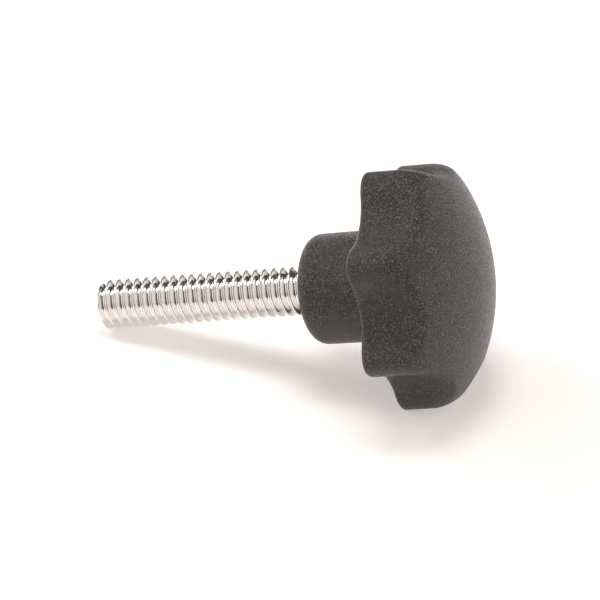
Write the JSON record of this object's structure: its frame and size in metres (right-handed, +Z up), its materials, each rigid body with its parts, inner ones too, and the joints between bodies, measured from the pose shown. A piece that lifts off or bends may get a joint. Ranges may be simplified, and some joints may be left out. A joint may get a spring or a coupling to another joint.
{
  "type": "knob",
  "caption": "Moulded plastic star knob with finger flutes around its rim, a round boss and a threaded steel stud moulded into it.",
  "frame": {"origin": "on the surface the knob lies on, under the centre of its bounding box", "axes": "+X level, from the tip of the stud towards the crown of the head; +Y level, across the knob; +Z up"},
  "size_m": [0.0524, 0.0318, 0.0312],
  "materials": {
    "grip_plastic": "fine moulded grain, satin black",
    "stud_steel": "bright zinc-plated thread"
  },
  "bodies": {
    "root": {"lobed_grip": "grip_plastic", "threaded_stud": "stud_steel"}
  },
  "joints": []
}
